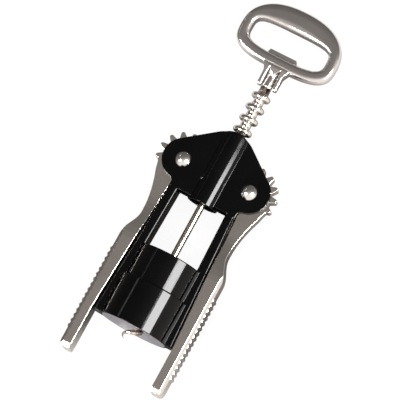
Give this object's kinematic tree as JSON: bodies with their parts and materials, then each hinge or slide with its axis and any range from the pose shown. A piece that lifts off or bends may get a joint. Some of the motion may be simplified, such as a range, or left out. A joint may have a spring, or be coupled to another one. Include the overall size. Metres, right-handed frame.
{
  "type": "lever corkscrew",
  "caption": "Double lever corkscrew with a black two-shell body, chrome geared levers, a ring rack, a coiled worm and a loop handle with a cap lifter.",
  "frame": {"origin": "centre of the bell's mouth, on the screw axis", "axes": "+Y up the screw axis towards the handle, +Z out of the front of the body, which lies on its back, +X to the right of the front view"},
  "size_m": [0.0606, 0.184, 0.0332],
  "materials": {
    "black_enamel": "glossy black enamel",
    "grey_liner": "satin grey plastic",
    "black_guide": "satin black plastic",
    "lever_chrome": "chrome plate over a cast lever",
    "handle_chrome": "chrome plate over a cast loop",
    "rack_chrome": "chrome plate over a cast rack",
    "rivet_steel": "polished nickel-plated rivet",
    "bush_steel": "turned steel",
    "worm_steel": "drawn steel wire with a warm sheen"
  },
  "bodies": {
    "body": {"front_shell": "black_enamel", "rear_shell": "black_enamel", "mouth_liner": "grey_liner", "worm_guide": "black_guide", "left_bush": "bush_steel", "right_bush": "bush_steel", "left_rivet": "rivet_steel", "right_rivet": "rivet_steel"},
    "left_lever": {"left_lever": "lever_chrome"},
    "right_lever": {"right_lever": "lever_chrome"},
    "rack": {"rack_sleeve": "rack_chrome"},
    "screw": {"worm": "worm_steel", "handle": "handle_chrome", "rack_collar": "bush_steel"}
  },
  "joints": [
    {"name": "left_lever_swing", "type": "hinge", "parent": "body", "child": "left_lever", "pos_m": [-0.0167, 0.0776, 0], "axis": [0, 0, -1], "range_deg": [0, 105]},
    {"name": "right_lever_swing", "type": "hinge", "parent": "body", "child": "right_lever", "pos_m": [0.0167, 0.0776, 0], "axis": [0, 0, 1], "range_deg": [0, 105]},
    {"name": "rack_slide", "type": "slide", "parent": "body", "child": "rack", "axis": [0, -1, 0], "range_m": [0, 0.02369]},
    {"name": "screw_spin", "type": "hinge", "parent": "rack", "child": "screw", "pos_m": [0, 0.07, 0], "axis": [0, 1, 0], "continuous": true}
  ],
  "couplings": [
    {"joint": "right_lever_swing", "follows": "left_lever_swing", "ratio": 1},
    {"joint": "rack_slide", "follows": "left_lever_swing", "m_per_rad": 0.012923}
  ]
}
